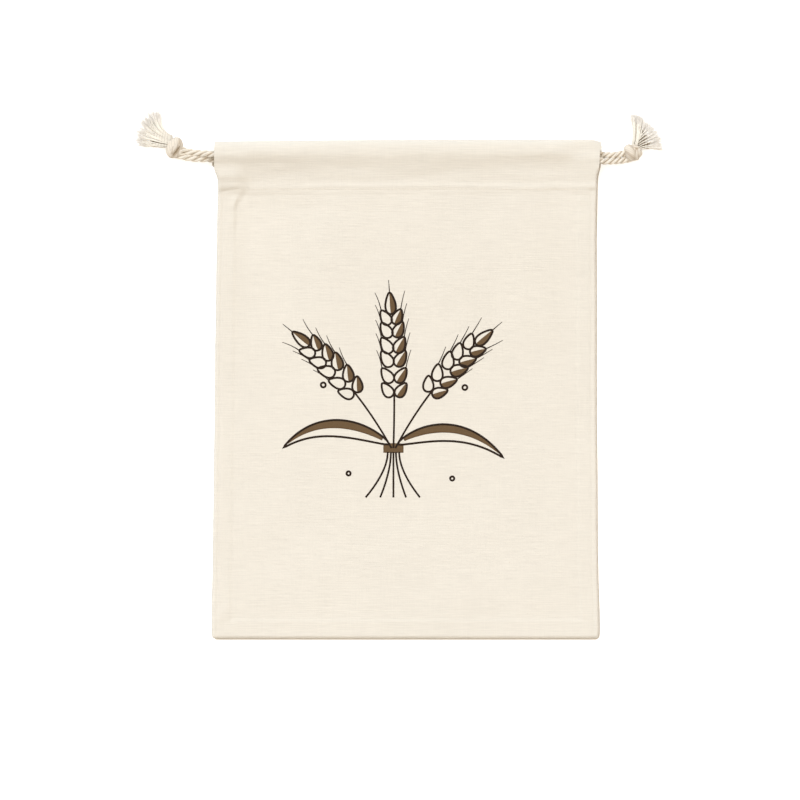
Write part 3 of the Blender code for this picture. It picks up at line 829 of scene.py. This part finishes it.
def way(degrees):
    return np.array([math.cos(math.radians(degrees)), math.sin(math.radians(degrees)), 0.0])


UP = np.array([0.0, 0.0, 1.0])

# A turn goes round a little more than once, and dives under the knot at its ends
TURN_ANGLES = np.arange(-190, 191, 10)
DIVE_ANGLES, DIVE = (150, 190), 0.4
HEART_FLAT = 0.66
YARN_FLOOR, FIBRE_FLOOR = 0.55, 0.3

# Layers of plies: rise from one to the next, depth of the lowest, and the same at the tips
LAYER_RISE, LAYER_DEPTH = 1.7, 1.6
TIP_RISE, TIP_HEIGHT = 1.5, 0.9
AHEAD_DROP = 0.2

# A ply: steps along it, how far it starts inside the knot, and its two yarns' lay and radii
PLY_STEPS = 24
PLY_SUNK = 2.4
PLY_LAY = 4.2
PLY_RADII = (0.24, 0.24, 0.34, 0.34, 0.12)
FIBRE_RADII = ((0, 0.5, 0.8, 1), (0.17, 0.16, 0.13, 0.06))
PLY_SIDES, FIBRE_SIDES, CREASE_SIDES = 7, 4, 8

# Dark yarn painted as the shade in a knot's crease: radius, how deep it sits in the knot's surface, and how
# near that surface is read
CREASE_RADIUS, CREASE_SUNK, CREASE_NEAR = 0.5, 0.2, 0.8


def knot_turns(spec):
    """The turns of the cord around the knot, and what fills its heart."""
    centre = np.array(spec["centre"])
    parts = []
    for faces, offset, shift, reach, rise, slant, diameter, depth in spec["turns"]:
        axis, wide = way(faces), way(faces - 90)
        phi = np.radians(TURN_ANGLES)
        kept = 1 - DIVE * smooth(*DIVE_ANGLES, np.abs(np.degrees(phi)))
        line = (
            centre
            + (offset + slant * np.sin(phi / 2) * 2)[:, None] * axis
            + (shift + reach * kept * np.sin(phi))[:, None] * wide
            + (rise * kept * np.cos(phi))[:, None] * UP
        )
        parts.append(rope(spline(line, 0.8), diameter, depth))
    length, radius = spec["heart"]
    along = np.linspace(-1, 1, 21)
    line = centre + (along * length)[:, None] * way(spec["long"])
    verts, faces, uvs = tube(line, radius * np.sqrt(1.02 - along**2), 24)
    verts[:, 2] = centre[2] + (verts[:, 2] - centre[2]) * HEART_FLAT
    parts.append((verts, faces, uvs))
    return join(parts)


def crease_shade_yarn(points, turned_verts):
    """A dark yarn painted as the shade at the bottom of the crease between two turns of the knot."""
    line = spline(np.array([(x, y, 0.0) for x, y in points]), 0.4)
    for point in line:
        near = np.hypot(*(turned_verts[:, :2] - point[:2]).T) < CREASE_NEAR
        point[2] = turned_verts[near, 2].max() - CREASE_SUNK
    taper = np.sin(np.linspace(0.12, math.pi - 0.12, len(line)))
    return tube(line, CREASE_RADIUS * taper, CREASE_SIDES)


def tassel(spec, turned_verts):
    """Unravelled ends of the cord: plies that open out, dark plies inside painted as shade, and loose fibres
    at the tips.
    """
    rng = np.random.default_rng(spec["seed"])
    axis = way(spec["away"])
    tips = np.array(spec["tips"])
    wide = np.array([-axis[1], axis[0], 0.0]) * (1.0 if tips[-1, 1] > tips[0, 1] else -1.0)
    root = np.array(spec["root"])
    t = np.linspace(0, 1, PLY_STEPS + 1)
    s = t[:, None]
    plies, painted_shade_parts, fluff = [], [], []
    for layer, count in enumerate(spec["counts"]):
        for k in range(count):
            # painted shade: the middle layer's first plies are dark and short, standing for the shade between
            # the plies above
            painted_shade = layer == 1 and k < spec["dark"][0]
            share = (k + 0.5 + spec["stagger"] * (layer - 1) + 0.08 * rng.normal()) / count
            place, reach, point, beside, hold, ahead = (
                float(np.interp(share, tips[:, 0], tips[:, j])) for j in range(1, 7))
            reach *= 1.0 - 0.08 * rng.random()
            away = way(point + rng.normal(0, 2.0))
            aside = np.array([-away[1], away[0], 0.0])
            height = LAYER_RISE * layer - LAYER_DEPTH - AHEAD_DROP * ahead
            start = root + wide * beside + axis * ahead + UP * height
            tip = root + way(place + rng.normal(0, 0.8)) * reach
            if painted_shade:
                tip = start + (tip - start) * spec["dark"][1]
            reach = float(np.linalg.norm((tip - start)[:2]))
            if layer == 2 and k in spec["gaps"]:
                continue
            tip[2] = TIP_HEIGHT + TIP_RISE * layer + 0.5 * rng.random()
            leave = way(spec["level"] * spec["away"] + (1 - spec["level"]) * point)
            a, b = start - axis * PLY_SUNK, start + leave * reach * (0.15 + 0.2 * spec["level"])
            c = tip - away * reach * 0.36 + UP * (0.4 + 0.9 * layer)
            line = (1 - s) ** 3 * a + 3 * (1 - s) ** 2 * s * b + 3 * (1 - s) * s * s * c + s**3 * tip
            bend = np.sin(t * math.pi * (1.2 + rng.random()) + rng.random() * 6) * 0.3 * t
            line = line + bend[:, None] * aside
            _, side, above = frames(line)
            # the ply itself, two yarns twisted together, until it comes apart
            part = 1.0 if painted_shade else hold + 0.10 * rng.random()
            thick = np.interp(t, (0, 0.1, 0.4, part * 0.75, part), PLY_RADII) * spec["ply"]
            keep = t <= part
            for half in (0.0, math.pi):
                around = half - 2 * math.pi * t * reach / PLY_LAY
                off = spec["ply"] * (0.16 + 0.06 * smooth(0.1, 0.4, t)) + 0.2 * smooth(part * 0.6, part, t)
                yarn = line + side * (np.cos(around) * off)[:, None] + above * (np.sin(around) * off)[:, None]
                yarn[:, 2] = np.maximum(yarn[:, 2], YARN_FLOOR)
                (painted_shade_parts if painted_shade else plies).append(tube(yarn[keep], thick[keep], PLY_SIDES))
            for _ in range(0 if painted_shade else spec["loose"]):
                begin = int(PLY_STEPS * (part - 0.05)) - int(rng.integers(0, 3))
                swirl = rng.random() * 6.3 + rng.normal(0, 1.6) * t
                spread = 0.15 + (0.2 + 2.4 * rng.random() ** 1.4) * smooth(part - 0.1, 1.15, t)
                fine = line + side * (np.cos(swirl) * spread)[:, None]
                fine = fine + above * (np.sin(swirl) * spread * 0.6)[:, None]
                fine = fine + away * (rng.normal(0.3, 1.6) * t**2)[:, None]
                fine = fine + aside * (rng.normal(0, 1.3) * t**3)[:, None]
                fine[:, 2] = np.maximum(fine[:, 2], FIBRE_FLOOR)
                stop = PLY_STEPS + 1 - int(rng.integers(0, 7) * (1 - part))
                radii = np.interp(t, *FIBRE_RADII)[begin:stop]
                verts, faces, uvs = tube(fine[begin:stop], radii, FIBRE_SIDES)
                # each ply's fibres have a tone of their own
                uvs[:, 0] += 7.0 * len(plies)
                fluff.append((verts, faces, uvs))
    # painted shade along the crease between the knot's turns
    if spec["crease"]:
        painted_shade_parts.append(crease_shade_yarn(spec["crease"], turned_verts))
    return join(plies), join(painted_shade_parts), join(fluff)


pieces_of = {}
for name, spec in KNOTS.items():
    knot = knot_turns(spec)
    plies, painted_shade_parts, fluff = tassel(spec, knot[0])
    pieces_of[name] = [
        add_mesh(name + "_turns", *knot, painted_shade_knot_cotton),
        add_mesh(name + "_tassel", *plies, tassel_cotton),
        add_mesh(name + "_painted_shade", *painted_shade_parts, painted_shade_cotton),
        add_mesh(name + "_fluff", *fluff, loose_cotton),
    ]
    for piece in pieces_of[name]:
        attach(piece, "root")
        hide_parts(name)

for name, (piece, line, exit_point) in cords.items():
    knot = name.replace("drawstring", "knot")
    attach(piece, "root")
    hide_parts(name)


# Cloth
front_grid = front_rows()
front, front_down = sheet_mesh("front_cloth", front_grid)
back, _ = sheet_mesh("back_cloth", back_rows())
for piece, node, rests in ((front, "front_panel", ["back_panel"]), (back, "back_panel", [])):
    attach(piece, "root")
    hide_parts(node)


# Stitches
STITCH_FROM_X, STITCH_TO_X = -139.2, 137.5
STITCH_PITCH, STITCH_LENGTH = 3.1, 2.5
STITCH_RISE, STITCH_SUNK = 0.22, 0.18
STITCH_SHAPE = np.array([(0, 0.45), (0.08, 0.8), (0.25, 1), (0.5, 1), (0.75, 1), (0.92, 0.8), (1, 0.45)])
FRONT_THREAD, BACK_THREAD = 0.2, 0.12
BACK_STITCH_Z = 0.14


def stitch_row(name, height, radius):
    """A row of stitches; its shape is (share along, share of the thread's radius)."""
    t = STITCH_SHAPE[:, :1]
    parts = []
    for x in np.arange(STITCH_FROM_X, STITCH_TO_X, STITCH_PITCH):
        a, b = (np.array([end, STITCH_Y, height(end)]) for end in (x, x + STITCH_LENGTH))
        line = a + (b - a) * t + UP * (STITCH_RISE * np.sin(t * math.pi) - STITCH_SUNK)
        parts.append(tube(line, STITCH_SHAPE[:, 1] * radius, 8))
    piece = add_mesh(name, *join(parts), thread_cotton)
    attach(piece, "root")


stitch_row("front_stitches", lambda x: front_height(x, STITCH_Y) + CLOTH / 2, FRONT_THREAD)
stitch_row("back_stitches", lambda x: BACK_STITCH_Z, BACK_THREAD)


# Print
FILL_LEVEL, LINE_LEVEL, LEVEL_STEP, INK_SUNK = 0.035, 0.075, 0.003, 0.05
LINE, STEM_LINE = 1.65, 1.5
BEARD = np.linspace(0.9, 0.45, 8)
# rows of the front cloth's grid from the bottom seam to above the print
PRINT_ROWS = 160


class Print:
    """Flat ink laid over the cloth: strips between two lines, each a closed film with its own level."""

    def __init__(self, name, material, level):
        self.name, self.material, self.level = name, material, level
        self.parts = []

    def strip(self, left, right, columns=1, ring=False):
        left, right = np.asarray(left, float), np.asarray(right, float)
        share = np.linspace(0, 1, columns + 1)[None, :, None]
        flat = left[:, None, :] * (1 - share) + right[:, None, :] * share
        n, m = flat.shape[:2]
        x, y = flat[..., 0], flat[..., 1]
        z = front_height(x, y) + CLOTH / 2
        lift = self.level + LEVEL_STEP * (len(self.parts) % 7)
        top = np.stack([x, y, z + lift], -1).reshape(-1, 3)
        low = np.stack([x, y, z - INK_SUNK], -1).reshape(-1, 3)
        index = np.arange(n * m).reshape(n, m)
        if ring:
            index = np.concatenate([index, index[:1]])
        over = np.stack([index[:-1, :-1], index[1:, :-1], index[1:, 1:], index[:-1, 1:]], -1)
        over = over.reshape(-1, 4)
        edges = [(index[:-1, 0], index[1:, 0]), (index[1:, -1], index[:-1, -1])]
        if not ring:
            edges += [(index[-1, :-1], index[-1, 1:]), (index[0, 1:], index[0, :-1])]
        rim = [np.stack([b, a, a + n * m, b + n * m], -1) for a, b in edges]
        faces = np.concatenate([over, over[:, ::-1] + n * m, *rim])
        v = np.interp(y, front_grid[:PRINT_ROWS, 0, 1], front_down[:PRINT_ROWS])
        uv = np.stack([x, v], -1).reshape(-1, 2) * MM
        self.parts.append((np.concatenate([top, low]), faces.tolist(), np.concatenate([uv, uv])))

    def stroke(self, points, width, ring=False):
        """A line of even or changing width along the points."""
        p = np.asarray(points, float)
        way_on = np.roll(p, -1, 0) - np.roll(p, 1, 0) if ring else np.gradient(p, axis=0)
        way_on = way_on / np.linalg.norm(way_on, axis=1)[:, None]
        side = np.stack([-way_on[:, 1], way_on[:, 0]], 1)
        side = side * np.broadcast_to(width, (len(p),))[:, None] / 2
        self.strip(p + side, p - side, 1, ring)

    def done(self):
        piece = add_mesh(self.name, *join(self.parts), self.material)
        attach(piece, "root")


fill = Print("print_fill", ink_fill, FILL_LEVEL)
line_work = Print("print_line", ink_line, LINE_LEVEL)


def turned(points, angle, at):
    c, s = math.cos(angle), math.sin(angle)
    x, y = np.asarray(points, float).T
    return np.stack([x * c - y * s + at[0], x * s + y * c + at[1]], 1)


def heading(angle):
    return np.array([math.cos(angle), math.sin(angle)])


def bent(a, b, c, count=24):
    """A curve from a to c that bends towards b."""
    a, b, c = (np.array(point, float) for point in (a, b, c))
    t = np.linspace(0, 1, count)[:, None]
    return (1 - t) ** 2 * a + 2 * (1 - t) * t * b + t * t * c


def grain(at, angle, length, half, shaded):
    """A seed with its base at a point, its right side filled where it is shaded; gives its tip."""
    def edge(theta, share=1.0):
        wide = share * half * np.sin(theta) * (1 - 0.4 * np.cos(theta))
        return turned(np.stack([length / 2 * (1 + np.cos(theta)), wide], 1), angle, at)

    line_work.stroke(edge(np.linspace(0, 2 * math.pi, 30, endpoint=False)), LINE, ring=True)
    if shaded:
        theta = -np.linspace(0.12 * math.pi, 0.94 * math.pi, 16)
        fill.strip(edge(theta), edge(theta, -0.12), 4)
    return turned([(length, 0)], angle, at)[0]


def beard(tip, angle, length, bend=0.0):
    far = tip + length * heading(angle)
    line_work.stroke(bent(tip, (tip + far) / 2 + bend, far, len(BEARD)), BEARD)


EAR_POINTS = 60
SEED_PITCH, SEED_SIZE, SEED_SPREAD, TOP_SEED = 11.4, (14.2, 4.3), 0.62, (17, 3.9)


def ear(base, angle, bend, length, pairs):
    """A wheat ear on its stem: seeds in pairs up a bent line, each but the lowest with a fine beard."""
    top = turned([(length, 0)], angle, base)[0]
    middle = turned([(length * 0.55, bend)], angle, base)[0]
    stem = bent(base, middle, top, EAR_POINTS)
    run = np.gradient(stem, axis=0)
    first = int(EAR_POINTS * (1 - pairs * SEED_PITCH / length))
    line_work.stroke(stem[: first + 2], STEM_LINE)
    for k in range(pairs):
        place = first + int((EAR_POINTS - first) * k / pairs)
        up = math.atan2(*run[place][::-1])
        size = 1.0 - 0.25 * abs(k - pairs * 0.4) / pairs
        for side in (1, -1):
            base_at = stem[place] + 2.0 * heading(up + side * 1.57)
            turn = up + side * (SEED_SPREAD - 0.03 * k)
            tip = grain(base_at, turn, SEED_SIZE[0] * size, SEED_SIZE[1] * size, side < 0)
            if k > 0:
                beard(tip, up + side * 0.28, 15, 0.8 * side)
    up = math.atan2(*run[-1][::-1])
    tip = grain(stem[-1] - 2 * run[-1] / np.linalg.norm(run[-1]), up, *TOP_SEED, True)
    beard(tip, up, 10)


def leaf(a, b, c, half, fill_side):
    """A long curled leaf: both edges drawn, and one side of its rib filled."""
    rib = bent(a, b, c, 34)
    run = np.gradient(rib, axis=0)
    run /= np.linalg.norm(run, axis=1)[:, None]
    out = np.stack([-run[:, 1], run[:, 0]], 1)
    t = np.linspace(0, 1, 34)
    wide = (half * np.sin(math.pi * t**0.75) ** 0.9)[:, None] * out
    line_work.stroke(np.concatenate([(rib + wide), (rib - wide)[-2::-1]]), LINE)
    fill.strip((rib + fill_side * wide * 0.97)[2:-2], rib[2:-2], 4)


TIE = (-10.5, -46.0)


def from_tie(x, y):
    return (TIE[0] + x, TIE[1] + y)


ear(TIE, math.radians(91), -3.0, 108.0, 6)
ear(from_tie(-1.5, 0), math.radians(129), -10.0, 106.0, 5)
ear(from_tie(1.5, 0), math.radians(52), 10.0, 106.0, 5)
leaf(from_tie(-3, 3), (-64, -16), (-98, -46), 6.6, -1)
leaf(from_tie(3, 3), (40, -20), (77, -54), 6.6, 1)
for start, end in ((-4.5, -26), (-2.0, -14.5), (0.0, -4), (2.0, 6), (4.5, 17)):
    line_work.stroke(bent(from_tie(start, -3), from_tie(start, -18), (end - 6.5, -85), 16), STEM_LINE)
band = bent(from_tie(-8, 3.6), from_tie(0, 4.3), from_tie(8, 3.6), 12)
low_band = bent(from_tie(-8, -3.6), from_tie(0, -4.2), from_tie(8, -3.6), 12)
fill.strip(band, low_band, 4)
for x, y, r in ((-66.0, 4.0, 1.9), (-46.0, -66.0, 1.6), (46.0, 2.0, 1.9), (36.0, -70.0, 1.6)):
    theta = np.linspace(0, 2 * math.pi, 20, endpoint=False)
    line_work.stroke(np.stack([x + r * np.cos(theta), y + r * np.sin(theta)], 1), LINE, ring=True)
fill.done()
line_work.done()


# Floor, light and colour
FLOOR_HALF, FLOOR_COLOUR, FLOOR_GLOW = 30000.0, (0.90, 0.90, 0.895), 0.4
KEY_DIRECTION, KEY_STRENGTH, KEY_SPREAD, KEY_COLOUR = (-0.42, 0.80, 1.0), 1.58, 34.0, (0.88, 1.055, 1.29)
SKY_COLOUR = (1.054, 0.977, 0.879, 1.0)
# the sky's strength at the horizon and overhead, growing with the square of the height
SKY_LOW, SKY_HIGH, SKY_POWER = 0.12, 1.77, 2.0


def add_floor():
    n = Nodes(bpy.data.materials.new("pale_floor"))
    n.finish(FLOOR_COLOUR, 0.95)
    n.put(n.shader.inputs["Emission Color"], (1.0, 1.0, 1.0))
    n.put(n.shader.inputs["Emission Strength"], FLOOR_GLOW)
    uvs = np.array([(-1, -1), (1, -1), (1, 1), (-1, 1)])
    corners = np.column_stack([uvs * FLOOR_HALF, np.zeros(4)])
    add_mesh("floor", corners, [(0, 1, 2, 3)], uvs, n.owner)


def add_key_light():
    data = bpy.data.lights.new("key_light", "SUN")
    data.energy = KEY_STRENGTH
    data.angle = math.radians(KEY_SPREAD)
    data.color = KEY_COLOUR
    light = bpy.data.objects.new("key_light", data)
    light.location = Vector(KEY_DIRECTION) * 3
    light.rotation_mode = "QUATERNION"
    light.rotation_quaternion = Vector(KEY_DIRECTION).to_track_quat("Z", "Y")
    light.visible_camera = False
    SCENE.collection.objects.link(light)


def add_sky():
    n = Nodes(bpy.data.worlds.new("studio"))
    background = n.tree.nodes["Background"]
    height = n.place("Generated")[2]
    strength = n.span(n.math("POWER", height, SKY_POWER), 0.0, 1.0, SKY_LOW, SKY_HIGH)
    n.put(background.inputs["Color"], SKY_COLOUR)
    n.put(background.inputs["Strength"], strength)
    SCENE.world = n.owner


add_floor()
add_key_light()
add_sky()
SCENE.view_settings.view_transform = "Standard"
SCENE.view_settings.look = "None"
